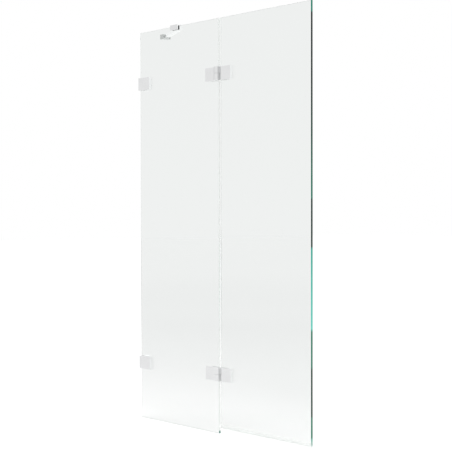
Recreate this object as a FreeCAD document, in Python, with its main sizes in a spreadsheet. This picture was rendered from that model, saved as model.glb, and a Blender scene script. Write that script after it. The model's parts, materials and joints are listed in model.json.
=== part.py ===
import FreeCAD, Part
import math
import os
import Sketcher

# Frameless two-part shower screen: a fixed pane on wall clamps and a door pane on two hinges.
# X runs along the screen from the fixed pane's wall edge to the free edge, Y runs inward
# from the middle of the glass, and Z runs up from the fixed pane's foot.

doc = FreeCAD.newDocument("ShowerScreen")
sheet = doc.addObject("Spreadsheet::Sheet", "Sizes")

SIZES = [
    # Glass panes
    ("screen_height", 1500),
    ("fixed_glass_width", 500),
    ("door_glass_width", 489),
    ("glass_gap", 11),
    ("glass_thickness", 6),
    ("glass_arris", 0.6),
    ("door_lift", 22),
    ("wall_gap", 3),
    # Clamping plates, shared by the hinges and the wall clamps
    ("fitting_inset", 200),
    ("lower_fitting_height", 216),
    ("plate_height", 49),
    ("plate_reach", 73),
    ("plate_thickness", 9),
    ("plate_round", 1),
    ("gasket_thickness", 1),
    ("gasket_inset", 0.6),
    ("back_reach", 52),
    ("back_inset", 1.5),
    ("back_thickness", 5),
    ("back_round", 0.8),
    # Clamping screws and their sleeves in the drilled glass
    ("screw_reach", 31),
    ("screw_spacing", 28),
    ("screw_radius", 3),
    ("screw_head_radius", 6),
    ("screw_bite", 5.5),
    ("screw_spare", 0.5),
    ("screw_clearance", 0.2),
    ("socket_width", 4),
    ("socket_depth", 2.4),
    ("sleeve_radius", 6.5),
    ("seat_clearance", 0.1),
    # Hinge knuckle, pin and bush
    ("axis_proud", 12),
    ("knuckle_radius", 11.25),
    ("knuckle_rim", 0.8),
    ("leaf_clearance", 0.5),
    ("pin_radius", 4),
    ("pin_grip", 18),
    ("pin_reach", 16),
    ("pin_chamfer", 0.5),
    ("running_clearance", 0.05),
    ("bush_wall", 1.5),
    ("bush_flange", 0.8),
    ("bush_flange_inset", 0.6),
    ("bush_spare", 2),
    ("thrust_play", 0.1),
    # Wall clamp bracket
    ("wall_clearance", 4),
    ("clamp_screw_reach", 30),
    ("bracket_reach", 47),
    ("bracket_leg", 5),
    ("bracket_depth", 36),
    ("bracket_bend", 3),
    ("wall_screw_radius", 2.75),
    ("wall_head_radius", 5),
    ("wall_screw_inset", 12),
    ("wall_screw_spacing", 28),
    # Top clamp, support bar and wall block
    ("support_place", 232),
    ("support_width", 45),
    ("support_grip", 14),
    ("bridge_thickness", 4),
    ("liner_thickness", 1.75),
    ("front_jaw", 5),
    ("back_jaw", 8),
    ("grub_radius", 3),
    ("grub_spacing", 30),
    ("grub_drop", 7),
    ("bar_width", 20),
    ("bar_thickness", 10),
    ("bar_drop", 7),
    ("bar_round", 0.8),
    ("bar_clearance", 0.5),
    ("bar_play", 0.2),
    ("lug_thickness", 5),
    ("lug_cover", 1),
    ("block_length", 25),
    ("block_base", 7),
    ("block_wall", 2),
    ("block_ear", 4),
    ("block_offset", 114),
    ("block_pin_radius", 3),
    ("stud_radius", 3),
    # Clear sealing strips
    ("seal_wall", 1.2),
    ("seal_play", 0.05),
    ("seal_leg", 10),
    ("strip_leg", 6),
    ("strip_foot", 10),
    ("seal_clearance", 0.5),
    ("fin_overlap", 4),
    ("fin_clearance", 0.4),
    ("lip_drop", 17),
    ("lip_thickness", 1.2),
    ("vane_reach", 7),
    # Overrun of every through cut
    ("overrun", 2),
]

for row, (alias, number) in enumerate(SIZES, start=1):
    sheet.set("A%d" % row, alias)
    sheet.set("B%d" % row, str(number))
    sheet.setAlias("B%d" % row, alias)
doc.recompute()

# Every piece in the order made, and how near two places count as the same
NODES = []
TOUCH = 1e-4
probe = doc.addObject("App::FeaturePython", "Probe")


# Drawing helpers

def value(expression):
    """Work out an expression over the sheet's sizes."""
    result = probe.evalExpression(expression)
    return float(getattr(result, "Value", result))


def origin_item(body, role):
    """Find one of the body's own origin planes or axes."""
    return next(item for item in body.Origin.OriginFeatures if item.Role == role)


def new_body(name, x="0", y="0", z="0", turn=None):
    """Start a piece and tie its place, and its turn about Z, to the sheet."""
    body = doc.addObject("PartDesign::Body", name)
    body.Label = name
    body.AllowCompound = True
    for axis, expression in zip("xyz", (x, y, z)):
        body.setExpression(".Placement.Base." + axis, expression)
    if turn:
        body.setExpression(".Placement.Rotation.Angle", turn)
    NODES.append(body)
    return body


def new_sketch(body, role, level="0"):
    """Start a sketch on an origin plane, raised along the plane's normal."""
    sketch = body.newObject("Sketcher::SketchObject", body.Name + "_sketch")
    sketch.AttachmentSupport = (origin_item(body, role), [""])
    sketch.MapMode = "FlatFace"
    sketch.setExpression(".AttachmentOffset.Base.z", level)
    return sketch


def bind(sketch, expression, kind, *where):
    """Add a dimension whose value is an expression."""
    number = sketch.addConstraint(Sketcher.Constraint(kind, *where, value(expression)))
    sketch.setExpression("Constraints[%d]" % number, expression)


def pin_point(sketch, geometry, end, x, y):
    """Dimension a point from the sketch's origin, or put it on an axis where it has no distance."""
    if x == "0":
        sketch.addConstraint(Sketcher.Constraint("PointOnObject", geometry, end, -2))
    else:
        bind(sketch, x, "DistanceX", -1, 1, geometry, end)
    if y == "0":
        sketch.addConstraint(Sketcher.Constraint("PointOnObject", geometry, end, -1))
    else:
        bind(sketch, y, "DistanceY", -1, 1, geometry, end)


def outline(sketch, points):
    """Draw a closed outline and dimension each of its corners."""
    spots = [FreeCAD.Vector(value(x), value(y), 0) for x, y in points]
    lines = []
    for start, end in zip(spots, spots[1:] + spots[:1]):
        lines.append(sketch.addGeometry(Part.LineSegment(start, end), False))
    for line, following in zip(lines, lines[1:] + lines[:1]):
        sketch.addConstraint(Sketcher.Constraint("Coincident", line, 2, following, 1))
    for line, (x, y) in zip(lines, points):
        pin_point(sketch, line, 1, x, y)


def rectangle(sketch, left, right, bottom, top):
    """Draw an upright rectangle between four named lines."""
    outline(sketch, [(left, bottom), (right, bottom), (right, top), (left, top)])


def circle(sketch, x, y, radius):
    """Draw a circle with its centre and radius dimensioned."""
    middle = FreeCAD.Vector(value(x), value(y), 0)
    ring = sketch.addGeometry(Part.Circle(middle, FreeCAD.Vector(0, 0, 1), value(radius)), False)
    pin_point(sketch, ring, 3, x, y)
    bind(sketch, radius, "Radius", ring)


def arc(sketch, x, y, radius, first, last):
    """Draw an arc and return its number."""
    ring = Part.Circle(FreeCAD.Vector(value(x), value(y), 0), FreeCAD.Vector(0, 0, 1), value(radius))
    return sketch.addGeometry(Part.ArcOfCircle(ring, math.radians(first), math.radians(last)), False)


def line(sketch, x1, y1, x2, y2):
    """Draw a line and return its number."""
    start = FreeCAD.Vector(value(x1), value(y1), 0)
    end = FreeCAD.Vector(value(x2), value(y2), 0)
    return sketch.addGeometry(Part.LineSegment(start, end), False)


def round_ended(sketch, length, radius):
    """Draw a bar in plan with a full round at each end, from the origin along X."""
    first = arc(sketch, "0", "0", radius, 90, 270)
    last = arc(sketch, length, "0", radius, -90, 90)
    lower = line(sketch, "0", "-(%s)" % radius, length, "-(%s)" % radius)
    upper = line(sketch, length, radius, "0", radius)
    for one, other in ((first, lower), (lower, last), (last, upper), (upper, first)):
        sketch.addConstraint(Sketcher.Constraint("Tangent", one, 2, other, 1))
    sketch.addConstraint(Sketcher.Constraint("Coincident", first, 3, -1, 1))
    pin_point(sketch, last, 3, length, "0")
    bind(sketch, radius, "Radius", first)
    sketch.addConstraint(Sketcher.Constraint("Equal", first, last))


def tongue(sketch, root, radius):
    """Draw a tongue in plan that starts on the line y = root and ends in a half circle about the origin."""
    end = arc(sketch, "0", "0", radius, 0, 180)
    left = line(sketch, "-(%s)" % radius, "0", "-(%s)" % radius, root)
    base = line(sketch, "-(%s)" % radius, root, radius, root)
    right = line(sketch, radius, root, radius, "0")
    sketch.addConstraint(Sketcher.Constraint("Tangent", end, 2, left, 1))
    sketch.addConstraint(Sketcher.Constraint("Coincident", left, 2, base, 1))
    sketch.addConstraint(Sketcher.Constraint("Coincident", base, 2, right, 1))
    sketch.addConstraint(Sketcher.Constraint("Tangent", right, 2, end, 1))
    sketch.addConstraint(Sketcher.Constraint("Coincident", end, 3, -1, 1))
    sketch.addConstraint(Sketcher.Constraint("Horizontal", base))
    bind(sketch, radius, "Radius", end)
    bind(sketch, root, "DistanceY", -1, 1, base, 1)


# Feature helpers

def pad(body, sketch, length):
    """Raise a sketch along its normal."""
    feature = body.newObject("PartDesign::Pad", body.Name + "_pad")
    feature.Profile = sketch
    feature.setExpression("Length", length)
    sketch.Visibility = False
    doc.recompute()
    return feature


def pocket(body, sketch, length):
    """Cut a sketch along its normal and make sure that the cut removed material."""
    before = body.Shape.Volume
    feature = body.newObject("PartDesign::Pocket", body.Name + "_pocket")
    feature.Profile = sketch
    feature.Reversed = True
    feature.setExpression("Length", length)
    sketch.Visibility = False
    doc.recompute()
    if not feature.Shape.Volume < before:
        raise RuntimeError(body.Name + ": a pocket removed nothing")
    return feature


def revolve(body, sketch, axis):
    """Turn a half section once round the sketch's own upright or level axis."""
    feature = body.newObject("PartDesign::Revolution", body.Name + "_turned")
    feature.Profile = sketch
    feature.ReferenceAxis = (sketch, [axis])
    sketch.Visibility = False
    doc.recompute()
    return feature


def edges_where(feature, test):
    """Name the edges of a feature whose two ends and curve pass a test."""
    found = []
    for number, edge in enumerate(feature.Shape.Edges, start=1):
        if test(edge):
            found.append("Edge%d" % number)
    if not found:
        raise RuntimeError(feature.Name + ": no such edge")
    return found


def straight_on(axis, place):
    """Test for a straight edge that lies wholly at one place along an axis."""
    def test(edge):
        ends = [getattr(vertex.Point, axis) for vertex in edge.Vertexes]
        is_line = edge.Curve.TypeId == "Part::GeomLine"
        return is_line and all(abs(end - place) < TOUCH for end in ends)
    return test


def circle_on(axis, place):
    """Test for a circle that lies wholly at one place along an axis."""
    def test(edge):
        is_ring = edge.Curve.TypeId == "Part::GeomCircle"
        return is_ring and abs(getattr(edge.Curve.Center, axis) - place) < TOUCH
    return test


def soften(body, kind, feature, edges, size):
    """Round or chamfer named edges of the last feature."""
    dressed = body.newObject("PartDesign::" + kind, body.Name + "_" + kind.lower())
    dressed.Base = (feature, edges)
    dressed.setExpression("Radius" if kind == "Fillet" else "Size", size)
    doc.recompute()
    return dressed


def pair(body, features, length):
    """Repeat features once, upward."""
    pattern = body.newObject("PartDesign::LinearPattern", body.Name + "_pair")
    pattern.Originals = features
    pattern.Direction = (origin_item(body, "Z_Axis"), [""])
    pattern.Occurrences = 2
    pattern.setExpression("Length", length)
    body.Tip = pattern
    doc.recompute()


# Places that several pieces share

HALF_GLASS = "Sizes.glass_thickness / 2"
PLATE_SEAT = "(Sizes.glass_thickness / 2 + Sizes.gasket_thickness)"
HALF_PLATE = "Sizes.plate_height / 2"
HALF_SPACING = "Sizes.screw_spacing / 2"
AXIS_X = "(Sizes.fixed_glass_width + Sizes.glass_gap / 2)"
AXIS_Y = "(-Sizes.glass_thickness / 2 - Sizes.axis_proud)"
DOOR_X = "(Sizes.fixed_glass_width + Sizes.glass_gap)"
UPPER_Z = "(Sizes.screen_height - Sizes.fitting_inset)"
LOWER_Z = "Sizes.lower_fitting_height"
GLASS_HOLE = "(Sizes.sleeve_radius + Sizes.seat_clearance)"
SCREW_HOLE = "(Sizes.screw_radius + Sizes.screw_clearance)"
SCREW_HEAD = "(Sizes.screw_head_radius - Sizes.screw_radius)"
STACK = "(Sizes.glass_thickness + 2 * Sizes.gasket_thickness)"


# Glass panes

def drill_rows(sketch, places, heights):
    """Draw the two drilled holes of each fitting on a pane."""
    for x in places:
        for z in heights:
            for way in ("-", "+"):
                circle(sketch, x, "%s %s %s" % (z, way, HALF_SPACING), GLASS_HOLE)


def pane(name, left, width, bottom, height, places, heights):
    """Make one pane with its drilled holes and its ground arrises."""
    body = new_body(name, x=left, z=bottom)
    sketch = new_sketch(body, "XZ_Plane", "-" + HALF_GLASS)
    rectangle(sketch, "0", width, "0", height)
    drill_rows(sketch, places, heights)
    slab = pad(body, sketch, "Sizes.glass_thickness")
    half = value(HALF_GLASS)
    faces = straight_on("y", half), straight_on("y", -half)
    rims = edges_where(slab, lambda edge: any(test(edge) for test in faces))
    soften(body, "Chamfer", slab, rims, "Sizes.glass_arris")


pane(
    "fixed_glass", "0", "Sizes.fixed_glass_width", "0", "Sizes.screen_height",
    ["Sizes.clamp_screw_reach", AXIS_X + " - Sizes.screw_reach"],
    [LOWER_Z, UPPER_Z],
)
pane(
    "door_glass", DOOR_X, "Sizes.door_glass_width", "Sizes.door_lift",
    "Sizes.screen_height - Sizes.door_lift",
    ["Sizes.screw_reach - Sizes.glass_gap / 2"],
    [LOWER_Z + " - Sizes.door_lift", UPPER_Z + " - Sizes.door_lift"],
)


# Pieces that hold a plate on the glass

def gasket(name, place, level, left, right):
    """Make a soft pad with two sleeve holes, its front face at the given level."""
    body = new_body(name, **place["at"])
    sketch = new_sketch(body, "XZ_Plane", level)
    height = HALF_PLATE + " - Sizes.gasket_inset"
    rectangle(sketch, left, right, "-(%s)" % height, height)
    for way in ("-", ""):
        circle(sketch, place["screw_x"], way + HALF_SPACING, GLASS_HOLE)
    pad(body, sketch, "Sizes.gasket_thickness")


def sleeves(name, place, level):
    """Make the two sleeves that keep the screws off the glass."""
    body = new_body(name, **place["at"])
    sketch = new_sketch(body, "XZ_Plane", level)
    for way in ("-", ""):
        circle(sketch, place["screw_x"], way + HALF_SPACING, "Sizes.sleeve_radius")
        circle(sketch, place["screw_x"], way + HALF_SPACING, SCREW_HOLE)
    pad(body, sketch, STACK)


def screws(name, place, rear):
    """Make the two countersunk screws with their hexagon sockets, heads at the rear face."""
    at = place["at"]
    body = new_body(
        name,
        at["x"] + " + " + place["screw_x"],
        at["y"] + " + " + rear,
        at["z"] + " - " + HALF_SPACING,
    )
    sketch = new_sketch(body, "XY_Plane")
    length = "-(Sizes.back_thickness + %s + Sizes.screw_bite)" % STACK
    outline(sketch, [
        ("0", "0"),
        ("Sizes.screw_head_radius", "0"),
        ("Sizes.screw_radius", "-" + SCREW_HEAD),
        ("Sizes.screw_radius", length),
        ("0", length),
    ])
    turned = revolve(body, sketch, "V_Axis")
    recess = new_sketch(body, "XZ_Plane")
    hexagon(recess, "Sizes.socket_width")
    cut = pocket(body, recess, "Sizes.socket_depth")
    pair(body, [turned, cut], "Sizes.screw_spacing")


def hexagon(sketch, width):
    """Draw a hexagon of the given width across flats about the origin."""
    corner = "%s / sqrt(3)" % width
    half = "%s / 2" % width
    outline(sketch, [
        (corner, "0"),
        (corner + " / 2", half),
        ("-%s / 2" % corner, half),
        ("-" + corner, "0"),
        ("-%s / 2" % corner, "-" + half),
        (corner + " / 2", "-" + half),
    ])


def countersink(body, feature, axis, rear, size):
    """Open the screw holes to a countersink at the rear face."""
    rings = edges_where(feature, circle_on(axis, value(rear)))
    return soften(body, "Chamfer", feature, rings, size)


def front_plate(name, place, back, left, right):
    """Make a plain clamping plate with rounded front edges and blind screw holes in its back."""
    body = new_body(name, **place["at"])
    sketch = new_sketch(body, "XZ_Plane", "-(%s)" % back)
    rectangle(sketch, left, right, "-" + HALF_PLATE, HALF_PLATE)
    slab = pad(body, sketch, "Sizes.plate_thickness")
    front = value("%s - Sizes.plate_thickness" % back)
    rims = edges_where(slab, straight_on("y", front))
    rounded = soften(body, "Fillet", slab, rims, "Sizes.plate_round")
    holes = new_sketch(body, "XZ_Plane", "-(%s)" % back)
    for way in ("-", ""):
        circle(holes, place["screw_x"], way + HALF_SPACING, "Sizes.screw_radius")
    pocket(body, holes, "Sizes.screw_bite + Sizes.screw_spare")
    return body


# Wall clamps

def wall_clamp(prefix, height):
    """Make one wall clamp: front plate, bracket with its wall foot, gaskets, sleeves and screws."""
    place = {"at": {"x": "0", "y": "0", "z": height}, "screw_x": "Sizes.clamp_screw_reach"}
    near_wall = "(Sizes.wall_clearance - Sizes.wall_gap)"
    far_end = near_wall + " + Sizes.plate_reach"
    rear = "(%s + Sizes.back_thickness)" % PLATE_SEAT
    foot = "(Sizes.bracket_leg - Sizes.wall_gap)"

    front_plate(prefix + "_front_plate", place, "-" + PLATE_SEAT, near_wall, far_end)

    bracket = new_body(prefix + "_bracket", **place["at"])
    profile = new_sketch(bracket, "XY_Plane", "-" + HALF_PLATE)
    outline(profile, [
        ("-Sizes.wall_gap", PLATE_SEAT),
        ("Sizes.bracket_reach", PLATE_SEAT),
        ("Sizes.bracket_reach", rear),
        (foot, rear),
        (foot, "Sizes.bracket_depth"),
        ("-Sizes.wall_gap", "Sizes.bracket_depth"),
    ])
    angle = pad(bracket, profile, "Sizes.plate_height")
    corner_x = value(foot)
    corner_y = value(rear)
    inner = edges_where(
        angle,
        lambda edge: straight_on("x", corner_x)(edge) and straight_on("y", corner_y)(edge),
    )
    bent = soften(bracket, "Fillet", angle, inner, "Sizes.bracket_bend")
    screw_holes = new_sketch(bracket, "XZ_Plane", "-" + rear)
    for way in ("-", ""):
        circle(screw_holes, place["screw_x"], way + HALF_SPACING, SCREW_HOLE)
    drilled = pocket(bracket, screw_holes, "Sizes.back_thickness + Sizes.overrun")
    sunk = countersink(bracket, drilled, "y", rear, SCREW_HEAD)
    wall_holes = new_sketch(bracket, "YZ_Plane", "-Sizes.wall_gap")
    for way in ("-", ""):
        circle(
            wall_holes,
            "Sizes.bracket_depth - Sizes.wall_screw_inset",
            way + "Sizes.wall_screw_spacing / 2",
            "Sizes.wall_screw_radius",
        )
    fixed = pocket(bracket, wall_holes, "Sizes.bracket_leg + Sizes.overrun")
    countersink(bracket, fixed, "x", foot, "Sizes.wall_head_radius - Sizes.wall_screw_radius")

    inset = "Sizes.gasket_inset"
    gasket(
        prefix + "_front_gasket", place, HALF_GLASS,
        "%s + %s" % (near_wall, inset), "%s - %s" % (far_end, inset),
    )
    gasket(
        prefix + "_back_gasket", place, "-" + PLATE_SEAT,
        inset, "Sizes.bracket_reach - " + inset,
    )
    sleeves(prefix + "_sleeves", place, "-" + PLATE_SEAT)
    screws(prefix + "_screws", place, rear)


wall_clamp("upper_clamp", UPPER_Z)
wall_clamp("lower_clamp", LOWER_Z)


# Hinges

SPLIT = "((Sizes.bush_flange + Sizes.thrust_play) / 2)"
LEAF_START = "(Sizes.knuckle_radius + Sizes.leaf_clearance)"
LEAF_BACK = "(Sizes.axis_proud - Sizes.gasket_thickness)"
LEAF_FRONT = "(Sizes.axis_proud - Sizes.gasket_thickness - Sizes.plate_thickness)"
BUSH_BORE = "(Sizes.pin_radius + Sizes.running_clearance)"
BUSH_RADIUS = "(Sizes.pin_radius + Sizes.running_clearance + Sizes.bush_wall)"
BUSH_LENGTH = "(Sizes.pin_reach + Sizes.bush_spare)"


def mirrored(side, expression):
    """Turn a distance outward from the hinge axis into a place on that side."""
    return expression if side == "door" else "-(%s)" % expression


def between(side, near, far):
    """Give the left and right ends of a stretch that runs outward from the hinge axis."""
    ends = [mirrored(side, near), mirrored(side, far)]
    return ends if side == "door" else ends[::-1]


def leaf(prefix, side, place):
    """Make a hinge leaf: front plate, web and its half of the knuckle with the pin's bore."""
    left, right = between(side, LEAF_START, "Sizes.plate_reach")
    body = front_plate(prefix + "_" + side + "_leaf", place, LEAF_BACK, left, right)
    half_length = "%s - %s" % (HALF_PLATE, SPLIT)
    low = SPLIT if side == "door" else "-" + HALF_PLATE
    web = new_sketch(body, "XY_Plane", low)
    left, right = between(side, "0", LEAF_START)
    rectangle(web, left, right, LEAF_FRONT, LEAF_BACK)
    pad(body, web, half_length)
    half = new_sketch(body, "XZ_Plane")
    up = "" if side == "door" else "-"
    outline(half, [
        ("0", up + SPLIT),
        ("Sizes.knuckle_radius", up + SPLIT),
        ("Sizes.knuckle_radius", "%s(%s - Sizes.knuckle_rim)" % (up, HALF_PLATE)),
        ("Sizes.knuckle_radius - Sizes.knuckle_rim", up + HALF_PLATE),
        ("0", up + HALF_PLATE),
    ])
    revolve(body, half, "V_Axis")
    if side == "door":
        bore = new_sketch(body, "XY_Plane", SPLIT)
        circle(bore, "0", "0", BUSH_RADIUS + " + Sizes.seat_clearance")
        pocket(body, bore, BUSH_LENGTH)
    else:
        bore = new_sketch(body, "XY_Plane", "-%s - Sizes.pin_grip" % SPLIT)
        circle(bore, "0", "0", "Sizes.pin_radius + Sizes.running_clearance")
        pocket(body, bore, "Sizes.pin_grip")


def hinge_side(prefix, side, z):
    """Make what clamps one leaf to its pane."""
    place = {
        "at": {"x": AXIS_X, "y": AXIS_Y, "z": z},
        "screw_x": mirrored(side, "Sizes.screw_reach"),
    }
    leaf(prefix, side, place)
    name = prefix + "_" + side
    inset = "Sizes.gasket_inset"
    back_start = "(Sizes.glass_gap / 2 + Sizes.back_inset)"
    glass_back = "(Sizes.axis_proud + Sizes.glass_thickness)"
    seat = "(%s + Sizes.gasket_thickness)" % glass_back
    rear = "(%s + Sizes.back_thickness)" % seat

    left, right = between(side, LEAF_START + " + " + inset, "Sizes.plate_reach - " + inset)
    gasket(name + "_front_gasket", place, "-Sizes.axis_proud", left, right)
    left, right = between(side, "%s + %s" % (back_start, inset), "Sizes.back_reach - " + inset)
    gasket(name + "_back_gasket", place, "-" + seat, left, right)

    body = new_body(name + "_back_plate", **place["at"])
    sketch = new_sketch(body, "XZ_Plane", "-" + rear)
    left, right = between(side, back_start, "Sizes.back_reach")
    rectangle(sketch, left, right, "-" + HALF_PLATE, HALF_PLATE)
    slab = pad(body, sketch, "Sizes.back_thickness")
    rims = edges_where(slab, straight_on("y", value(rear)))
    soften(body, "Fillet", slab, rims, "Sizes.back_round")
    holes = new_sketch(body, "XZ_Plane", "-" + rear)
    for way in ("-", ""):
        circle(holes, place["screw_x"], way + HALF_SPACING, SCREW_HOLE)
    drilled = pocket(body, holes, "Sizes.back_thickness + Sizes.overrun")
    countersink(body, drilled, "y", rear, SCREW_HEAD)

    sleeves(name + "_sleeves", place, "-" + seat)
    screws(name + "_screws", place, rear)


def hinge(prefix, z):
    """Make one hinge: two clamped leaves, a pin held in the lower knuckle and the door's flanged bush."""
    hinge_side(prefix, "fixed", z)
    hinge_side(prefix, "door", z)

    pin = new_body(prefix + "_pin", AXIS_X, AXIS_Y, z)
    half = new_sketch(pin, "XZ_Plane")
    foot = "-%s - Sizes.pin_grip" % SPLIT
    head = "%s + Sizes.pin_reach" % SPLIT
    neck = "Sizes.pin_radius - Sizes.pin_chamfer"
    outline(half, [
        ("0", foot),
        (neck, foot),
        ("Sizes.pin_radius", foot + " + Sizes.pin_chamfer"),
        ("Sizes.pin_radius", head + " - Sizes.pin_chamfer"),
        (neck, head),
        ("0", head),
    ])
    revolve(pin, half, "V_Axis")

    bush = new_body(prefix + "_bush", AXIS_X, AXIS_Y, z)
    half = new_sketch(bush, "XZ_Plane")
    flange = "Sizes.knuckle_radius - Sizes.bush_flange_inset"
    under = SPLIT + " - Sizes.bush_flange"
    top = "%s + %s" % (SPLIT, BUSH_LENGTH)
    outline(half, [
        (BUSH_BORE, under),
        (flange, under),
        (flange, SPLIT),
        (BUSH_RADIUS, SPLIT),
        (BUSH_RADIUS, top),
        (BUSH_BORE, top),
    ])
    revolve(bush, half, "V_Axis")


hinge("upper_hinge", UPPER_Z)
hinge("lower_hinge", LOWER_Z)


# Top clamp of the support bar

JAW_SEAT = "(Sizes.glass_thickness / 2 + Sizes.liner_thickness)"
JAW_REAR = "(%s + Sizes.back_jaw)" % JAW_SEAT
PIVOT_Y = "(%s + Sizes.bar_clearance + Sizes.bar_width / 2)" % JAW_REAR
BAR_Z = "(Sizes.screen_height - Sizes.bar_drop)"
BAR_HALF = "Sizes.bar_thickness / 2"
BAR_RADIUS = "Sizes.bar_width / 2"
LUG_UNDER = "(Sizes.bar_thickness / 2 - Sizes.bar_drop)"

clamp = new_body("support_clamp", "Sizes.support_place", "0", "Sizes.screen_height")
profile = new_sketch(clamp, "YZ_Plane", "-Sizes.support_width / 2")
jaw_front = "(-%s - Sizes.front_jaw)" % JAW_SEAT
jaw_top = "(Sizes.liner_thickness + Sizes.bridge_thickness)"
outline(profile, [
    (jaw_front, "-Sizes.support_grip"),
    ("-" + JAW_SEAT, "-Sizes.support_grip"),
    ("-" + JAW_SEAT, "Sizes.liner_thickness"),
    (JAW_SEAT, "Sizes.liner_thickness"),
    (JAW_SEAT, "-Sizes.support_grip"),
    (JAW_REAR, "-Sizes.support_grip"),
    (JAW_REAR, jaw_top),
    (jaw_front, jaw_top),
])
saddle = pad(clamp, profile, "Sizes.support_width")
rims = edges_where(saddle, straight_on("y", value(jaw_front)))
soften(clamp, "Fillet", saddle, rims, "Sizes.plate_round")
lug = new_sketch(clamp, "XY_Plane", LUG_UNDER)
lug.setExpression(".AttachmentOffset.Base.y", PIVOT_Y)
tongue(lug, "%s - %s - Sizes.back_jaw / 2" % (JAW_REAR, PIVOT_Y), BAR_RADIUS)
pad(clamp, lug, "Sizes.lug_thickness")
pivot_hole = new_sketch(clamp, "XY_Plane", LUG_UNDER)
circle(pivot_hole, "0", PIVOT_Y, "Sizes.screw_radius")
pocket(clamp, pivot_hole, "Sizes.lug_thickness - Sizes.lug_cover")
grub_holes = new_sketch(clamp, "XZ_Plane", "-" + JAW_REAR)
for way in ("-", ""):
    circle(grub_holes, way + "Sizes.grub_spacing / 2", "-Sizes.grub_drop", "Sizes.grub_radius")
pocket(clamp, grub_holes, "Sizes.back_jaw")

liner = new_body("support_liner", "Sizes.support_place", "0", "Sizes.screen_height")
profile = new_sketch(liner, "YZ_Plane", "Sizes.gasket_inset - Sizes.support_width / 2")
liner_foot = "Sizes.gasket_inset - Sizes.support_grip"
outline(profile, [
    ("-" + JAW_SEAT, liner_foot),
    ("-" + HALF_GLASS, liner_foot),
    ("-" + HALF_GLASS, "0"),
    (HALF_GLASS, "0"),
    (HALF_GLASS, liner_foot),
    (JAW_SEAT, liner_foot),
    (JAW_SEAT, "Sizes.liner_thickness"),
    ("-" + JAW_SEAT, "Sizes.liner_thickness"),
])
pad(liner, profile, "Sizes.support_width - 2 * Sizes.gasket_inset")

grubs = new_body("support_grub_screws", "Sizes.support_place", "0", "Sizes.screen_height - Sizes.grub_drop")
rounds = new_sketch(grubs, "XZ_Plane", "-" + JAW_REAR)
for way in ("-", ""):
    circle(rounds, way + "Sizes.grub_spacing / 2", "0", "Sizes.grub_radius")
pad(grubs, rounds, "Sizes.back_jaw")


# Support bar between the top clamp's pivot and the wall block's pivot

WALL_PIVOT_X = "(Sizes.block_base - Sizes.wall_gap + Sizes.bar_clearance + Sizes.bar_width / 2)"
BAR_RUN = "(%s - Sizes.support_place)" % WALL_PIVOT_X
BAR_RISE = "(Sizes.block_offset - %s)" % PIVOT_Y
BAR_LENGTH = "sqrt(%s * %s + %s * %s)" % (BAR_RUN, BAR_RUN, BAR_RISE, BAR_RISE)

bar = new_body(
    "support_bar", "Sizes.support_place", PIVOT_Y, BAR_Z,
    turn="atan2(%s; %s)" % (BAR_RISE, BAR_RUN),
)
plan = new_sketch(bar, "XY_Plane", "-" + BAR_HALF)
round_ended(plan, BAR_LENGTH, BAR_RADIUS)
stock = pad(bar, plan, "Sizes.bar_thickness")
half_bar = value(BAR_HALF)
long_edges = edges_where(
    stock,
    lambda edge: straight_on("z", half_bar)(edge) or straight_on("z", -half_bar)(edge),
)
eased = soften(bar, "Fillet", stock, long_edges, "Sizes.bar_round")
pin_holes = new_sketch(bar, "XY_Plane", "-" + BAR_HALF)
circle(pin_holes, "0", "0", SCREW_HOLE)
circle(pin_holes, BAR_LENGTH, "0", "Sizes.block_pin_radius + Sizes.seat_clearance")
drilled = pocket(bar, pin_holes, "Sizes.bar_thickness + Sizes.overrun")
bar_reach = value(BAR_RADIUS)
head_ring = edges_where(
    drilled,
    lambda edge: circle_on("z", -half_bar)(edge) and edge.Curve.Center.Length < bar_reach
    and edge.Curve.Radius < value("Sizes.screw_head_radius"),
)
soften(bar, "Chamfer", drilled, head_ring, SCREW_HEAD)

pivot = new_body("support_pivot_screw", "Sizes.support_place", PIVOT_Y, "%s - %s" % (BAR_Z, BAR_HALF))
half = new_sketch(pivot, "XZ_Plane")
tip = "Sizes.bar_thickness + Sizes.lug_thickness - Sizes.lug_cover - Sizes.screw_spare"
outline(half, [
    ("0", "0"),
    ("Sizes.screw_head_radius", "0"),
    ("Sizes.screw_radius", SCREW_HEAD),
    ("Sizes.screw_radius", tip),
    ("0", tip),
])
revolve(pivot, half, "V_Axis")
recess = new_sketch(pivot, "XY_Plane")
hexagon(recess, "Sizes.socket_width")
pocket(pivot, recess, "Sizes.socket_depth")


# Wall block that the bar's other end turns in

SLOT_REACH = "(Sizes.block_length - Sizes.block_base - Sizes.bar_clearance - Sizes.bar_width / 2)"
SLOT_HALF = "(({radius}) * {length} + {reach} * {rise}) / (-{run}) + Sizes.bar_clearance".format(
    radius=BAR_RADIUS, length=BAR_LENGTH, reach=SLOT_REACH, rise=BAR_RISE, run=BAR_RUN
)
SLOT_HEIGHT = "(Sizes.bar_thickness + Sizes.bar_play)"
BLOCK_HALF = "(%s / 2 + Sizes.block_ear)" % SLOT_HEIGHT
BLOCK_SIDE = "(%s + Sizes.block_wall)" % SLOT_HALF

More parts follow.
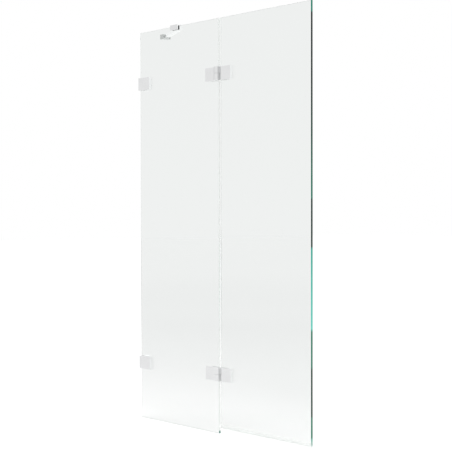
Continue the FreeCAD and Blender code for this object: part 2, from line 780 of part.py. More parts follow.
block = new_body("support_wall_block", "-Sizes.wall_gap", "Sizes.block_offset", BAR_Z)
face = new_sketch(block, "YZ_Plane")
rectangle(face, "-" + BLOCK_SIDE, BLOCK_SIDE, "-" + BLOCK_HALF, BLOCK_HALF)
solid = pad(block, face, "Sizes.block_length")
rims = edges_where(solid, straight_on("x", value("Sizes.block_length")))
soften(block, "Fillet", solid, rims, "Sizes.plate_round")
slot = new_sketch(block, "YZ_Plane", "Sizes.block_base")
rectangle(slot, "-(%s)" % SLOT_HALF, SLOT_HALF, "-%s / 2" % SLOT_HEIGHT, SLOT_HEIGHT + " / 2")
pocket(block, slot, "Sizes.block_length - Sizes.block_base + Sizes.overrun")
stud = new_sketch(block, "YZ_Plane")
circle(stud, "0", "0", "Sizes.stud_radius")
pocket(block, stud, "Sizes.block_base")
cross = new_sketch(block, "XY_Plane", "-" + BLOCK_HALF)
circle(
    cross, WALL_PIVOT_X + " + Sizes.wall_gap", "0",
    "Sizes.block_pin_radius + Sizes.seat_clearance",
)
pocket(block, cross, "2 * %s + Sizes.overrun" % BLOCK_HALF)

block_pin = new_body("support_wall_pin", WALL_PIVOT_X, "Sizes.block_offset", BAR_Z)
half = new_sketch(block_pin, "XZ_Plane")
shoulder = "%s - Sizes.pin_chamfer" % BLOCK_HALF
outline(half, [
    ("0", "-" + BLOCK_HALF),
    ("Sizes.block_pin_radius - Sizes.pin_chamfer", "-" + BLOCK_HALF),
    ("Sizes.block_pin_radius", "-(%s)" % shoulder),
    ("Sizes.block_pin_radius", shoulder),
    ("Sizes.block_pin_radius - Sizes.pin_chamfer", BLOCK_HALF),
    ("0", BLOCK_HALF),
])
revolve(block_pin, half, "V_Axis")


# Clear sealing strips

CLIP = "(Sizes.glass_thickness / 2 + Sizes.seal_wall)"
SEAT = "(Sizes.glass_thickness / 2 + Sizes.seal_play)"
FIN_TIP = "(Sizes.glass_gap + Sizes.fin_overlap)"


def edge_seal(name, start, length):
    """Make one length of the edge strip: a clip on the fixed pane and a fin behind the door pane."""
    body = new_body(name, "Sizes.fixed_glass_width", "0", start)
    sketch = new_sketch(body, "XY_Plane")
    fin_face = "%s + Sizes.fin_clearance" % HALF_GLASS
    outline(sketch, [
        ("-Sizes.strip_leg", "-" + CLIP),
        ("Sizes.seal_wall", "-" + CLIP),
        ("Sizes.seal_wall", fin_face),
        (FIN_TIP, fin_face),
        (FIN_TIP, CLIP),
        ("-Sizes.strip_leg", CLIP),
        ("-Sizes.strip_leg", SEAT),
        ("Sizes.seal_play", SEAT),
        ("Sizes.seal_play", "-" + SEAT),
        ("-Sizes.strip_leg", "-" + SEAT),
    ])
    pad(body, sketch, length)
    return body


HINGE_ROOM = "(Sizes.plate_height / 2 + Sizes.seal_clearance)"
edge_seal("edge_seal_upper", "%s + %s" % (UPPER_Z, HINGE_ROOM), "Sizes.fitting_inset - " + HINGE_ROOM)
edge_seal(
    "edge_seal_middle", "%s + %s" % (LOWER_Z, HINGE_ROOM),
    "%s - %s - 2 * %s" % (UPPER_Z, LOWER_Z, HINGE_ROOM),
)
lower_strip = edge_seal(
    "edge_seal_lower", "Sizes.strip_foot",
    "%s - %s - Sizes.strip_foot" % (LOWER_Z, HINGE_ROOM),
)
# The lowest length loses its fin beside the strip under the door
trim = new_sketch(lower_strip, "XY_Plane")
rectangle(trim, "Sizes.seal_wall", FIN_TIP + " + Sizes.overrun", HALF_GLASS, CLIP + " + Sizes.overrun")
pocket(lower_strip, trim, "Sizes.door_lift + Sizes.seal_leg + Sizes.seal_clearance - Sizes.strip_foot")

bottom_seal = new_body("bottom_seal", DOOR_X, "0", "Sizes.door_lift")
section = new_sketch(bottom_seal, "YZ_Plane")
half_lip = "Sizes.lip_thickness / 2"
vane_tip = "%s + Sizes.vane_reach" % CLIP
outline(section, [
    ("-" + CLIP, "Sizes.seal_leg"),
    ("-" + SEAT, "Sizes.seal_leg"),
    ("-" + SEAT, "-Sizes.seal_play"),
    (SEAT, "-Sizes.seal_play"),
    (SEAT, "Sizes.seal_leg"),
    (CLIP, "Sizes.seal_leg"),
    (CLIP, "0"),
    (vane_tip, "-Sizes.vane_reach"),
    (vane_tip, "-Sizes.vane_reach - Sizes.seal_wall"),
    (CLIP, "-Sizes.seal_wall"),
    (half_lip, "-Sizes.seal_wall"),
    (half_lip, "-Sizes.lip_drop"),
    ("-" + half_lip, "-Sizes.lip_drop"),
    ("-" + half_lip, "-Sizes.seal_wall"),
    ("-" + CLIP, "-Sizes.seal_wall"),
])
pad(bottom_seal, section, "Sizes.door_glass_width")


# Check every object, then write each piece to its own file

doc.recompute()
broken = [item.Label for item in doc.Objects if "Invalid" in item.State or "Error" in item.State]
if broken:
    raise RuntimeError("failed objects: " + ", ".join(broken))
for node in NODES:
    if node.Shape.isNull() or not node.Shape.isValid() or not node.Shape.Solids:
        raise RuntimeError("bad shape: " + node.Label)

os.makedirs("parts", exist_ok=True)
for node in NODES:
    node.Shape.exportStep(os.path.join("parts", node.Label + ".step"))
    print(node.Label, len(node.Shape.Solids), round(node.Shape.Volume, 1))
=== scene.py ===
import json
import math

import bpy
from mathutils import Matrix, Vector

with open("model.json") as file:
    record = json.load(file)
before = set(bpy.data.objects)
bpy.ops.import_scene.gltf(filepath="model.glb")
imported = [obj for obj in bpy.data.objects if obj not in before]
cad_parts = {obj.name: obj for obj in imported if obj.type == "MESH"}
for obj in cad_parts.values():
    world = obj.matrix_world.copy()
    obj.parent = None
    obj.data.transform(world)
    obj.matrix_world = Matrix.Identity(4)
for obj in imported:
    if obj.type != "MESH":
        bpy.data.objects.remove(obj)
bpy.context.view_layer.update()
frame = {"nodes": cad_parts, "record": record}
nodes = frame["nodes"]
scene = bpy.context.scene


# Camera at the photograph's angle

IMAGE_WIDTH = 452
FOCAL_PIXELS = 1297.8
PRINCIPAL_DROP = 20.24
SENSOR = 36.0
CLIP_START = 0.05
CAMERA_PLACE = Vector((4.20775, -2.86813, 0.79738))
CAMERA_YAW = math.radians(51.9957)
CAMERA_PITCH = math.radians(1.453)
CAMERA_ROLL = math.radians(-0.112)


def make_camera():
    """Place the camera and turn it to the screen."""
    back = Vector((
        math.sin(CAMERA_YAW) * math.cos(CAMERA_PITCH),
        -math.cos(CAMERA_YAW) * math.cos(CAMERA_PITCH),
        math.sin(CAMERA_PITCH),
    ))
    right = (-back).cross(Vector((0, 0, 1))).normalized()
    up = right.cross(-back).normalized()
    turned_right = math.cos(CAMERA_ROLL) * right + math.sin(CAMERA_ROLL) * up
    turned_up = math.cos(CAMERA_ROLL) * up - math.sin(CAMERA_ROLL) * right
    turn = Matrix((turned_right, turned_up, back)).transposed().to_4x4()
    data = bpy.data.cameras.new("camera")
    data.sensor_width = SENSOR
    data.lens = SENSOR * FOCAL_PIXELS / IMAGE_WIDTH
    data.shift_y = PRINCIPAL_DROP / IMAGE_WIDTH
    data.clip_start = CLIP_START
    camera = bpy.data.objects.new("camera", data)
    camera.matrix_world = Matrix.Translation(CAMERA_PLACE) @ turn
    scene.collection.objects.link(camera)
    scene.camera = camera


make_camera()


# Node helpers

OPAQUE = (1.0,)
WHITE = (1.0, 1.0, 1.0)
HALF = 0.5

# Places of the colour sockets on a mix node
MIX_COLOURS = (6, 7)
MIX_RESULT = 2


class Shader:
    """The node tree of a material or the world, with short calls for the nodes used here."""

    def __init__(self, name, tree=None):
        self.material = None
        if tree is None:
            self.material = bpy.data.materials.new(name)
            self.material.use_nodes = True
            tree = self.material.node_tree
        self.tree = tree
        self.tree.nodes.clear()

    def node(self, kind, **settings):
        """Add a node and set the inputs given by name."""
        made = self.tree.nodes.new("ShaderNode" + kind)
        for key, value in settings.items():
            made.inputs[key].default_value = value
        return made

    def link(self, source, target):
        """Join an output to an input."""
        self.tree.links.new(source, target)

    def math(self, operation, *items, clamp=False):
        """Add a math node over sockets or numbers."""
        made = self.node("Math")
        made.operation = operation
        made.use_clamp = clamp
        for slot, item in zip(made.inputs, items):
            if isinstance(item, (int, float)):
                slot.default_value = item
            else:
                self.link(item, slot)
        return made.outputs[0]

    def fold(self, operation, first, *others):
        """Join several numbers in turn by one operation."""
        result = first
        for other in others:
            result = self.math(operation, result, other)
        return result

    def spread(self, source, low, high, new_low, new_high):
        """Map a range of a number smoothly onto another, clamped at its ends."""
        made = self.node("MapRange")
        made.interpolation_type = "SMOOTHSTEP"
        ends = {"From Min": low, "From Max": high, "To Min": new_low, "To Max": new_high}
        for slot, item in ends.items():
            made.inputs[slot].default_value = item
        self.link(source, made.inputs["Value"])
        return made.outputs["Result"]

    def rise(self, source, span):
        """Go from nought to one over a span of a number."""
        return self.spread(source, *span, 0.0, 1.0)

    def fall(self, source, span):
        """Go from one to nought over a span of a number."""
        return self.spread(source, *span, 1.0, 0.0)

    def parts(self, vector):
        """Split a vector into X, Y and Z."""
        made = self.node("SeparateXYZ")
        self.link(vector, made.inputs[0])
        return made.outputs

    def along(self, vector, way):
        """Measure how far a vector goes along a direction."""
        made = self.node("VectorMath")
        made.operation = "DOT_PRODUCT"
        self.link(vector, made.inputs[0])
        made.inputs[1].default_value = way
        return made.outputs["Value"]

    def blend(self, share, first, second):
        """Mix two colours, each a socket or three numbers, by a share."""
        made = self.node("Mix")
        made.data_type = "RGBA"
        self.link(share, made.inputs[0])
        for slot, item in zip(MIX_COLOURS, (first, second)):
            if isinstance(item, tuple):
                made.inputs[slot].default_value = item + OPAQUE
            else:
                self.link(item, made.inputs[slot])
        return made.outputs[MIX_RESULT]

    def ramp(self, share, stops):
        """Turn a number into a colour by a row of stops."""
        made = self.node("ValToRGB")
        band = made.color_ramp
        band.interpolation = "LINEAR"
        while len(band.elements) < len(stops):
            band.elements.new(HALF)
        for element, (place, colour) in zip(band.elements, stops):
            element.position = place
            element.color = colour + OPAQUE
        self.link(share, made.inputs["Fac"])
        return made.outputs["Color"]

    def noise(self, places, scale, detail=2.0, stretch=None):
        """Add noise over object places, stretched along an axis if asked."""
        made = self.node("TexNoise", Scale=scale, Detail=detail)
        if stretch:
            squeeze = self.node("Mapping", Scale=stretch)
            self.link(places, squeeze.inputs["Vector"])
            places = squeeze.outputs["Vector"]
        self.link(places, made.inputs["Vector"])
        return made.outputs["Fac"]

    def bump(self, height, strength, distance):
        """Turn a height into a surface normal."""
        made = self.node("Bump", Strength=strength, Distance=distance)
        self.link(height, made.inputs["Height"])
        return made.outputs["Normal"]

    def finish(self, surface):
        """Send a shader to the surface output."""
        output = self.node("OutputMaterial")
        self.link(surface, output.inputs["Surface"])
        return self.material

    def finish_clear(self, surface, shade):
        """Send a see-through shader to the output and let lamp light pass through it."""
        rays = self.node("LightPath")
        through = self.node("BsdfTransparent", Color=shade + OPAQUE)
        mixed = self.node("MixShader")
        self.link(rays.outputs["Is Shadow Ray"], mixed.inputs[0])
        self.link(surface, mixed.inputs[1])
        self.link(through.outputs[0], mixed.inputs[2])
        return self.finish(mixed.outputs[0])


# Places on the screen, in metres, taken from the frame


def reach(node, axis, end):
    """Find where a node ends along an axis, at its low end with min or its high end with max."""
    return end(getattr(vertex.co, axis) for vertex in nodes[node].data.vertices)


def offset(place, near, far):
    """Give a span at two distances from a place."""
    return (place + near, place + far)


FIXED_EDGE = reach("fixed_glass", "x", max)
GLASS_BACK = reach("fixed_glass", "y", max)
DOOR_EDGE = reach("door_glass", "x", max)
STRIP_FOOT = reach("edge_seal_lower", "z", min)
HINGE_AXIS = frame["record"]["behaviour"]["joints"][0]["pos_m"][0]


# Glass: clear faces with a faint grey-green tint, deep green polished edges

# Slopes of the surface that tell upright edges, level edges and ground corners from faces
UPRIGHT_SLOPE = (0.45, 0.60)
LEVEL_SLOPE = (0.80, 0.90)
CORNER_SLOPE = (0.50, 0.60)

GLASS_IOR = 1.5
GLASS_SHADE = (0.93, 0.95, 0.94)
# Painted light: the faces are tinted lighter at the foot, fading to the face tint above
FOOT_TINT_PAINTED_LIGHT = (0.986, 0.996, 0.991)
FACE_TINT = (0.972, 0.992, 0.982)
FOOT_LIGHT_HEIGHTS = (0.05, 0.31)
TINT_CLOUD = 2.2
TINT_VARIES = (0.2, 0.8, 0.9, 1.0)
EDGE_ROUGHNESS = 0.15
FACE_GLOSS = 0.5
EDGE_GLOSS = 0.05
CORNER_FROST = (0.96, 0.975, 0.965)

# The door's free edge, green with painted reflections in bands along its height, coloured on to the
# outermost part of the faces
RIM_WIDTH = 0.002
EDGE_TOP = 1.52
EDGE_WAVE = 0.004
EDGE_NOISE = {"scale": 5.0, "detail": 3.0, "stretch": (0.2, 0.2, 1.0)}
# Green of the edge by height, its light and dark bands painted reflections of the room
EDGE_GREEN_AND_REFLECTIONS = (
    (0.0220, (0.650, 0.730, 0.710)),
    (0.0342, (0.340, 0.520, 0.470)),
    (0.0486, (0.170, 0.470, 0.380)),
    (0.0532, (0.004, 0.190, 0.115)),
    (0.1181, (0.004, 0.190, 0.115)),
    (0.1227, (0.001, 0.035, 0.022)),
    (0.2815, (0.001, 0.030, 0.019)),
    (0.2861, (0.003, 0.175, 0.105)),
    (0.4084, (0.003, 0.175, 0.105)),
    (0.4130, (0.100, 0.630, 0.520)),
    (0.6820, (0.012, 0.380, 0.290)),
    (0.6873, (0.001, 0.028, 0.018)),
    (0.8447, (0.001, 0.028, 0.018)),
    (0.8500, (0.003, 0.180, 0.110)),
    (1.0412, (0.002, 0.060, 0.036)),
    (1.1932, (0.001, 0.018, 0.011)),
    (1.4622, (0.001, 0.008, 0.005)),
    (1.4668, (0.004, 0.210, 0.140)),
)

# The fixed pane's free edge: painted light under the clear strip, pale and silvery, and bare green at
# its foot
COVER_WIDTH = 0.010
COVER_FOOT = 0.0002
COVER_PAINTED_LIGHT = (0.985, 0.992, 0.988)
COVER_PAINTED_SHINE = 0.85
BARE_COLOUR = (0.010, 0.200, 0.140)


def free_edge_green_and_reflections(shader, places):
    """Colour the door's free edge green, with painted reflections in sections along its height."""
    wander = shader.noise(places, **EDGE_NOISE)
    height = shader.math("ADD", shader.parts(places)["Z"], shader.math("MULTIPLY", wander, EDGE_WAVE))
    stops = [(place / EDGE_TOP, colour) for place, colour in EDGE_GREEN_AND_REFLECTIONS]
    return shader.ramp(shader.math("DIVIDE", height, EDGE_TOP), stops)


def covered_edge(shader, place):
    """Tell the edge under the clear strip from the rest of the fixed pane."""
    beyond = shader.math("GREATER_THAN", place["X"], FIXED_EDGE - COVER_WIDTH)
    above = shader.math("GREATER_THAN", place["Z"], STRIP_FOOT + COVER_FOOT)
    return shader.math("MULTIPLY", beyond, above)


def make_glass(name, under_strip=False):
    """Make a pane's glass, its edges told from its faces by the direction they look in.

    An edge shows its colour from outside only, and its ground corners show from inside too.
    """
    shader = Shader(name)
    coordinates = shader.node("TexCoord")
    places = coordinates.outputs["Object"]
    place = shader.parts(places)
    direction = shader.parts(coordinates.outputs["Normal"])
    steepness = shader.math("ABSOLUTE", direction["Z"])
    upright = shader.rise(shader.math("ABSOLUTE", direction["X"]), UPRIGHT_SLOPE)
    level = shader.rise(steepness, LEVEL_SLOPE)
    ground = shader.rise(steepness, CORNER_SLOPE)
    rim = shader.math("GREATER_THAN", place["X"], DOOR_EDGE - RIM_WIDTH)
    outside = shader.math("SUBTRACT", 1.0, shader.node("NewGeometry").outputs["Backfacing"])
    frosted = shader.math("SUBTRACT", ground, level, clamp=True)
    facing = shader.fold("MAXIMUM", upright, ground, rim)
    edge = shader.math("MULTIPLY", facing, shader.math("MAXIMUM", outside, frosted))

    cloud = shader.spread(shader.noise(places, TINT_CLOUD), *TINT_VARIES)
    # Painted light: a lighter tint at the foot, fading up to a face tint that varies at random
    depth = shader.math("MULTIPLY", shader.rise(place["Z"], FOOT_LIGHT_HEIGHTS), cloud)
    face_colour = shader.blend(depth, FOOT_TINT_PAINTED_LIGHT, FACE_TINT)

    surface = shader.node("BsdfPrincipled", IOR=GLASS_IOR)
    if under_strip:
        # Painted light: the edge under the strip is coloured pale and made silvery to show as a light
        # line
        covered = covered_edge(shader, place)
        edge_colour = shader.blend(covered, BARE_COLOUR, COVER_PAINTED_LIGHT)
        painted_shine = shader.fold("MULTIPLY", covered, edge, COVER_PAINTED_SHINE)
        shader.link(painted_shine, surface.inputs["Metallic"])
    else:
        # The door's edge carries its green and painted reflections
        edge_colour = free_edge_green_and_reflections(shader, places)
    edge_colour = shader.blend(frosted, edge_colour, CORNER_FROST)
    shader.link(shader.blend(edge, face_colour, edge_colour), surface.inputs["Base Color"])
    shader.link(shader.math("SUBTRACT", 1.0, edge), surface.inputs["Transmission Weight"])
    shader.link(shader.math("MULTIPLY", edge, EDGE_ROUGHNESS), surface.inputs["Roughness"])
    gloss = shader.spread(edge, 0.0, 1.0, FACE_GLOSS, EDGE_GLOSS)
    shader.link(gloss, surface.inputs["Specular IOR Level"])
    return shader.finish_clear(surface.outputs[0], GLASS_SHADE)


# Metal

# The middle range of a noise, in which most of it lies
NOISE_SPAN = (0.3, 0.7)

METAL_FILM = {"scale": 22.0, "detail": 3.0}
METAL_DETAIL = 4.0
METAL_RELIEF = {"strength": 0.04, "distance": 0.0002}
# Span of the painted shade along the crevice where the knuckle meets the door's leaf
NOOK_SHADE_START = offset(HINGE_AXIS, 0.0095, 0.0106)
NOOK_SHADE_END = offset(HINGE_AXIS, 0.0109, 0.0119)


def make_metal(name, colour, worn, polish, grain, stretch=None, painted_nook_shade=None):
    """Make a metal whose polish and tone vary a little over the surface.

    With a shade colour given, painted shade darkens the crevice between the knuckle and the door's
    leaf.
    """
    shader = Shader(name)
    places = shader.node("TexCoord").outputs["Object"]
    film = shader.noise(places, **METAL_FILM)
    fine = shader.noise(places, grain, METAL_DETAIL, stretch)
    tone = shader.blend(shader.rise(film, NOISE_SPAN), colour, worn)
    # Painted shade: a darker colour along the crevice beside the knuckle
    if painted_nook_shade is not None:
        place = shader.parts(places)
        begun = shader.rise(place["X"], NOOK_SHADE_START)
        left = shader.fall(place["X"], NOOK_SHADE_END)
        tone = shader.blend(shader.math("MULTIPLY", begun, left), tone, painted_nook_shade)
    surface = shader.node("BsdfPrincipled", Metallic=1.0)
    shader.link(tone, surface.inputs["Base Color"])
    shader.link(shader.spread(fine, *NOISE_SPAN, *polish), surface.inputs["Roughness"])
    shader.link(shader.bump(fine, **METAL_RELIEF), surface.inputs["Normal"])
    return shader.finish(surface.outputs[0])


# Plastic and rubber

PLASTIC_IOR = 1.48
PLASTIC_CLOUD = 40.0
PLASTIC_DETAIL = 3.0
SKIN_DEPTH = 0.0003


def make_plastic(name, colour, other, polish, grain, relief):
    """Make an opaque moulded plastic or rubber with a fine skin."""
    shader = Shader(name)
    places = shader.node("TexCoord").outputs["Object"]
    cloud = shader.noise(places, PLASTIC_CLOUD)
    skin = shader.noise(places, grain, PLASTIC_DETAIL)
    tone = shader.blend(shader.rise(cloud, NOISE_SPAN), colour, other)
    surface = shader.node("BsdfPrincipled", IOR=PLASTIC_IOR)
    shader.link(tone, surface.inputs["Base Color"])
    shader.link(shader.spread(skin, *NOISE_SPAN, *polish), surface.inputs["Roughness"])
    shader.link(shader.bump(skin, relief, SKIN_DEPTH), surface.inputs["Normal"])
    return shader.finish(surface.outputs[0])


# Clear sealing strips

STRIP_IOR = 1.45
STRIP_SHADE = (0.985, 0.985, 0.985)
STRIP_COLOUR = (0.985, 0.99, 0.985)
STRIP_OTHER = (0.965, 0.97, 0.965)
STRIP_CLOUD = 14.0
STRIP_GRAIN = 900.0
STRIP_POLISH = (0.12, 0.22)
STRIP_RELIEF = {"strength": 0.05, "distance": 0.0001}
FILM_SHARE = 0.3
CLEAR_TINT = (0.992, 0.995, 0.993)
# Painted shade in the gap between the panes: the fin is coloured and tinted grey
FIN_SHADE_TINT = (0.932, 0.938, 0.935)
FIN_PAINTED_SHADE = (0.58, 0.60, 0.59)
FIN_BACK = offset(GLASS_BACK, -0.0006, 0.0)
FIN_START = offset(FIXED_EDGE, -0.0014, -0.0006)
FIN_END = offset(FIXED_EDGE, 0.0100, 0.0115)


def fin_share(shader, places):
    """Tell the fin in the gap between the panes from the rest of the strip."""
    place = shader.parts(places)
    back = shader.rise(place["Y"], FIN_BACK)
    begun = shader.rise(place["X"], FIN_START)
    ended = shader.fall(place["X"], FIN_END)
    return shader.fold("MULTIPLY", back, begun, ended)


def make_strip(name, body, stretch, fin_body=None):
    """Make the clear soft plastic of a sealing strip, a thin film drawn lengthwise.

    Most light goes straight through the film, with its tint. With a body given for the fin, the plastic
    is denser there and greyed with painted shade, for the shade in the gap between the panes.
    """
    shader = Shader(name)
    places = shader.node("TexCoord").outputs["Object"]
    cloud = shader.noise(places, STRIP_CLOUD)
    drawn = shader.noise(places, STRIP_GRAIN, stretch=stretch)
    tone = shader.blend(shader.rise(cloud, NOISE_SPAN), STRIP_COLOUR, STRIP_OTHER)
    surface = shader.node("BsdfPrincipled", IOR=STRIP_IOR, Alpha=body)
    clear = shader.node("BsdfTransparent", Color=CLEAR_TINT + OPAQUE)
    if fin_body is not None:
        fin = fin_share(shader, places)
        # Painted shade: the fin in the gap between the panes is greyed
        tone = shader.blend(fin, tone, FIN_PAINTED_SHADE)
        shader.link(shader.spread(fin, 0.0, 1.0, body, fin_body), surface.inputs["Alpha"])
        shader.link(shader.blend(fin, CLEAR_TINT, FIN_SHADE_TINT), clear.inputs["Color"])
    shader.link(tone, surface.inputs["Base Color"])
    shader.link(shader.spread(drawn, *NOISE_SPAN, *STRIP_POLISH), surface.inputs["Roughness"])
    shader.link(shader.bump(drawn, **STRIP_RELIEF), surface.inputs["Normal"])
    film = shader.node("MixShader", Fac=FILM_SHARE)
    shader.link(clear.outputs[0], film.inputs[1])
    shader.link(surface.outputs[0], film.inputs[2])
    return shader.finish_clear(film.outputs[0], STRIP_SHADE)


# A material for each slot of the record

CHROME_GRAIN = 260.0
CHROME = {"colour": (0.935, 0.94, 0.945), "worn": (0.91, 0.915, 0.92), "polish": (0.10, 0.16)}
SATIN = {"colour": (0.62, 0.635, 0.63), "worn": (0.56, 0.575, 0.57), "polish": (0.22, 0.32)}
# Colour of the painted shade in the hinges' crevice
NOOK_PAINTED_SHADE = (0.66, 0.665, 0.67)
SOFT = {"polish": (0.50, 0.65), "grain": 500.0, "relief": 0.15}
UPRIGHT_DRAWN = (1.0, 1.0, 0.02)
LEVEL_DRAWN = (0.02, 1.0, 1.0)

materials = {
    "clear_glass": make_glass("clear_glass"),
    "clear_seal": make_strip("clear_seal", body=0.15, stretch=UPRIGHT_DRAWN, fin_body=0.22),
    "chrome": make_metal("chrome", **CHROME, grain=CHROME_GRAIN),
    "stainless": make_metal(
        "stainless", colour=(0.66, 0.66, 0.67), worn=(0.58, 0.58, 0.59), polish=(0.24, 0.36),
        grain=700.0, stretch=(1.0, 1.0, 0.15),
    ),
    "gasket": make_plastic("gasket", colour=(0.94, 0.95, 0.945), other=(0.91, 0.92, 0.915), **SOFT),
    "liner": make_plastic("liner", colour=(0.045, 0.046, 0.049), other=(0.034, 0.035, 0.038), **SOFT),
    "bush": make_plastic(
        "bush", colour=(0.38, 0.38, 0.39), other=(0.34, 0.34, 0.35), polish=(0.30, 0.42),
        grain=350.0, relief=0.08,
    ),
    "acetal": make_plastic(
        "acetal", colour=(0.86, 0.86, 0.84), other=(0.82, 0.82, 0.80), polish=(0.35, 0.48),
        grain=350.0, relief=0.08,
    ),
}


def dress(node, material):
    """Give a CAD node its material."""
    slots = node.data.materials
    if len(slots) == 0:
        slots.append(material)
    for number in range(len(slots)):
        slots[number] = material


for subpart in frame["record"]["subparts"]:
    dress(nodes[subpart["node"]], materials[subpart["material_slot"]])


# Nodes with a material of their own: the fixed pane with painted light, the hinge leaves with painted
# shade, the wall block and the bottom seal

dress(nodes["fixed_glass"], make_glass("clear_glass_fixed", under_strip=True))
# The hinge leaves carry painted shade along the knuckle's crevice
hinge_chrome = make_metal("hinge_chrome", **CHROME, grain=CHROME_GRAIN, painted_nook_shade=NOOK_PAINTED_SHADE)
for hinge in ("upper", "lower"):
    for side in ("fixed", "door"):
        dress(nodes["%s_hinge_%s_leaf" % (hinge, side)], hinge_chrome)
dress(nodes["support_wall_block"], make_metal("satin_chrome", **SATIN, grain=CHROME_GRAIN))
dress(nodes["bottom_seal"], make_strip("clear_seal_level", body=0.28, stretch=LEVEL_DRAWN))


# White floor that keeps the screen's shadow

FLOOR_HALF = 30.0
FLOOR_LEVEL = -0.0006
FLOOR_CLOUD = 0.6
FLOOR_TONE = (0.849, 0.849, 0.849)
FLOOR_OTHER = (0.841, 0.841, 0.841)
CAMERA_GLOW = 0.40

# Each glow goes from one place to another, and from one strength to another
DEPTH_WAY = (-0.788, 0.616, 0.0)
SIDE_WAY = (0.616, 0.788, 0.0)
CLOSE_GLOW = (-0.4, 1.1, 0.260, 0.0855)
FAR_GLOW = (1.9, 5.8, 0.0, 0.092)
FARTHEST_GLOW = (5.0, 13.0, 0.0, 0.034)
ASIDE = (-0.12, 0.78, -0.3, 0.3)
NEAR_LEAN = (0.15, 1.05, 0.085, -0.045)
FAR_LEAN = (1.6, 3.0, 0.0, 0.045)
MIRROR_GLOW = (-0.25, 0.0, 0.0, 0.34)


def ray_kinds(shader):
    """Tell rays from the camera, rays through glass and rays off mirrors from each other."""
    rays = shader.node("LightPath").outputs
    direct = rays["Is Camera Ray"]
    through = rays["Is Transmission Ray"]
    clear = shader.math("MAXIMUM", direct, through)
    mirror = shader.math("SUBTRACT", rays["Is Glossy Ray"], clear, clamp=True)
    return direct, through, mirror


def glow_through_glass(shader, places):
    """Work out how the floor glows where it is seen through the panes.

    It fades from the screen's foot backward, comes up again far away, and leans a little to one side.
    """
    backward = shader.parts(places)["Y"]
    depth = shader.along(places, DEPTH_WAY)
    aside = shader.spread(shader.along(places, SIDE_WAY), *ASIDE)
    lean = shader.math("ADD", shader.spread(backward, *NEAR_LEAN), shader.spread(backward, *FAR_LEAN))
    return shader.fold(
        "ADD",
        shader.spread(backward, *CLOSE_GLOW),
        shader.math("MULTIPLY", aside, lean),
        shader.spread(depth, *FAR_GLOW),
        shader.spread(depth, *FARTHEST_GLOW),
    )


def make_floor_paint():
    """Make the floor's pale paint, with a glow for what the camera, the glass and mirrors see of it."""
    shader = Shader("floor")
    places = shader.node("TexCoord").outputs["Object"]
    paint = shader.node("BsdfDiffuse")
    tone = shader.blend(shader.noise(places, FLOOR_CLOUD), FLOOR_TONE, FLOOR_OTHER)
    shader.link(tone, paint.inputs["Color"])
    direct, through, mirror = ray_kinds(shader)
    mirrored = shader.spread(shader.parts(places)["Y"], *MIRROR_GLOW)
    strength = shader.fold(
        "MAXIMUM",
        shader.math("MULTIPLY", direct, CAMERA_GLOW),
        shader.math("MULTIPLY", through, glow_through_glass(shader, places)),
        shader.math("MULTIPLY", mirror, mirrored),
    )
    glow = shader.node("Emission", Color=WHITE + OPAQUE)
    shader.link(strength, glow.inputs["Strength"])
    both = shader.node("AddShader")
    shader.link(paint.outputs[0], both.inputs[0])
    shader.link(glow.outputs[0], both.inputs[1])
    return shader.finish(both.outputs[0])


def make_floor():
    """Lay a wide pale floor just under the screen's foot."""
    turns = ((-1, -1), (1, -1), (1, 1), (-1, 1))
    corners = [(x * FLOOR_HALF, y * FLOOR_HALF, FLOOR_LEVEL) for x, y in turns]
    mesh = bpy.data.meshes.new("floor")
    mesh.from_pydata(corners, [], [tuple(range(len(corners)))])
    floor = bpy.data.objects.new("floor", mesh)
    scene.collection.objects.link(floor)
    mesh.materials.append(make_floor_paint())


make_floor()


# White surroundings

PLAIN_LIGHT = 0.8
THROUGH_GLASS = (0.0, 0.5, 0.885, 0.97)

# What mirrors show: a tone by height, all white behind the screen, and a dark curtain at one side
MIRROR_TONES = ((0.50, 0.905), (0.585, 0.76), (0.68, 0.90), (0.75, 1.0), (1.0, 1.0))
WHITE_BEHIND = (-0.1, 0.2)
CURTAIN_WAY = (-0.985, -0.174, 0.0)
CURTAIN_SPAN = (0.951, 0.985)
CURTAIN_TONE = (0.55, 0.55, 0.55)


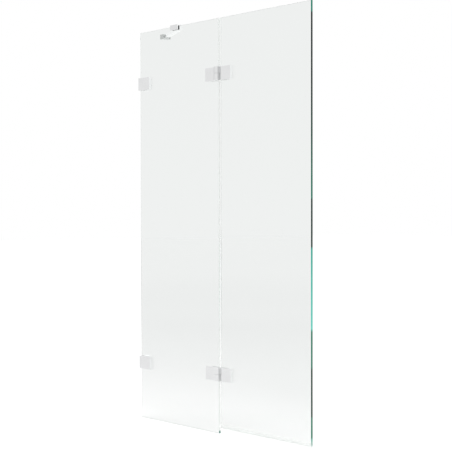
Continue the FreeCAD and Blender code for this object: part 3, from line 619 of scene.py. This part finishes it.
def mirrored_room(shader, way):
    """Work out what a mirror shows in each direction."""
    height = shader.math("MULTIPLY_ADD", shader.parts(way)["Z"], HALF, HALF)
    tall = shader.ramp(height, [(place, (tone, tone, tone)) for place, tone in MIRROR_TONES])
    lit = shader.blend(shader.rise(shader.parts(way)["Y"], WHITE_BEHIND), tall, WHITE)
    curtain = shader.rise(shader.along(way, CURTAIN_WAY), CURTAIN_SPAN)
    return shader.blend(curtain, lit, CURTAIN_TONE)


def make_world():
    """Show white all round, a little grey through glass and to mirrors, and give an even soft light."""
    world = bpy.data.worlds.new("studio")
    world.use_nodes = True
    scene.world = world
    shader = Shader("studio", world.node_tree)
    way = shader.node("TexCoord").outputs["Generated"]
    direct, through, mirror = ray_kinds(shader)
    glassed = shader.spread(shader.parts(way)["X"], *THROUGH_GLASS)
    seen = shader.math("MAXIMUM", direct, shader.math("MULTIPLY", through, glassed))
    mirrored = shader.math("MULTIPLY", mirror, mirrored_room(shader, way))
    plain = shader.math("SUBTRACT", 1.0, shader.fold("MAXIMUM", direct, through, mirror))
    strength = shader.fold("ADD", seen, mirrored, shader.math("MULTIPLY", plain, PLAIN_LIGHT))
    sky = shader.node("Background", Color=WHITE + OPAQUE)
    shader.link(strength, sky.inputs["Strength"])
    output = shader.node("OutputWorld")
    shader.link(sky.outputs[0], output.inputs["Surface"])


make_world()


# Soft lamps: name, place, size and power

LAMP_TARGET = Vector((0.5, 0.0, 0.75))
LAMPS = (
    ("key_lamp", (2.6, -3.2, 3.4), 2.4, 32.0),
    ("fill_lamp", (-1.8, -2.6, 2.2), 2.0, 14.0),
    ("rear_lamp", (0.6, 3.0, 2.8), 2.4, 18.0),
    ("side_lamp", (4.2, 0.6, 2.2), 2.0, 14.0),
)


def make_lamp(name, place, size, power):
    """Hang a square soft lamp and turn it to the screen's middle."""
    data = bpy.data.lights.new(name, "AREA")
    data.shape = "SQUARE"
    data.size = size
    data.energy = power
    lamp = bpy.data.objects.new(name, data)
    way = LAMP_TARGET - Vector(place)
    turn = way.to_track_quat("-Z", "Y").to_matrix().to_4x4()
    lamp.matrix_world = Matrix.Translation(Vector(place)) @ turn
    lamp.visible_glossy = False
    lamp.visible_transmission = False
    scene.collection.objects.link(lamp)


for lamp_facts in LAMPS:
    make_lamp(*lamp_facts)

scene.view_settings.view_transform = "Standard"
